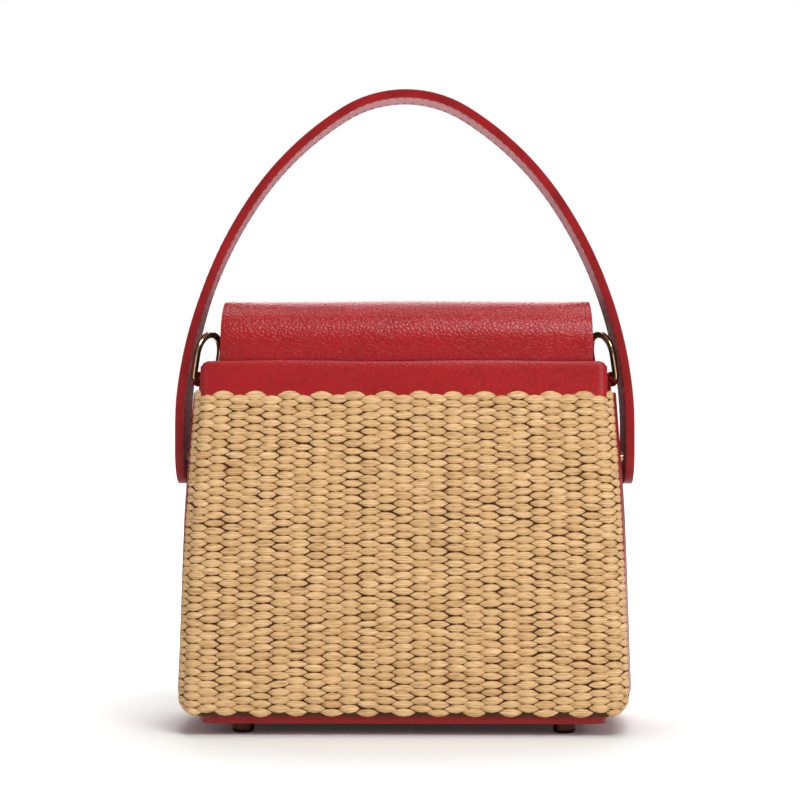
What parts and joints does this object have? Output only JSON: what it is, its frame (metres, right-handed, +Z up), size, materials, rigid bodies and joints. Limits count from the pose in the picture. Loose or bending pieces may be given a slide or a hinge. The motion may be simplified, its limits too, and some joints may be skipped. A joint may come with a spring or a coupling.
{
  "type": "raffia handbag",
  "caption": "Small structured handbag with woven raffia walls, leather sides, a fold-over flap with magnetic closure, a top handle and side rings",
  "frame": {"origin": "on the floor under the middle of the bag, at the underside of its feet", "axes": "+Z up, +X to the right seen from the rear, +Y towards the front, where the flap closes"},
  "size_m": [0.211, 0.1056, 0.291],
  "materials": {
    "red_leather": "pebbled, semi-matt",
    "raffia": "woven natural raffia",
    "lining_fabric": "plain woven",
    "strap_underside": "pebbled, stitched",
    "board": "matt board",
    "gold_metal": "polished pale gold",
    "closure_metal": "satin"
  },
  "bodies": {
    "bag": {"rear_band": "red_leather", "front_band": "red_leather", "right_gusset": "red_leather", "left_gusset": "red_leather", "base_panel": "red_leather", "right_ring_loop": "red_leather", "left_ring_loop": "red_leather", "rear_raffia_panel": "raffia", "front_raffia_panel": "raffia", "lining": "lining_fabric", "base_board": "board", "rear_left_foot": "gold_metal", "rear_right_foot": "gold_metal", "front_left_foot": "gold_metal", "front_right_foot": "gold_metal", "right_rivet": "gold_metal", "left_rivet": "gold_metal", "snap_socket": "closure_metal"},
    "flap": {"flap": "red_leather", "flap_lining": "lining_fabric", "snap_cap": "closure_metal"},
    "handle": {"handle": "red_leather", "handle_lining": "strap_underside"},
    "right_ring": {"right_ring": "gold_metal"},
    "left_ring": {"left_ring": "gold_metal"}
  },
  "joints": [
    {"name": "flap_open", "type": "hinge", "parent": "bag", "child": "flap", "pos_m": [0, -0.03709, 0.16805], "axis": [1, 0, 0], "range_deg": [0, 85]},
    {"name": "handle_swing", "type": "hinge", "parent": "bag", "child": "handle", "pos_m": [0, 0, 0.1225], "axis": [1, 0, 0], "range_deg": [0, 107]},
    {"name": "right_ring_swing", "type": "hinge", "parent": "bag", "child": "right_ring", "pos_m": [0.0924, 0, 0.1586], "axis": [0.4848, -0.8746, 0], "range_deg": [0, 65]},
    {"name": "left_ring_swing", "type": "hinge", "parent": "bag", "child": "left_ring", "pos_m": [-0.0924, 0, 0.1586], "axis": [0.4848, 0.8746, 0], "range_deg": [0, 65]}
  ],
  "couplings": [
    {"joint": "handle_swing", "follows": "flap_open", "ratio": 1.25}
  ]
}
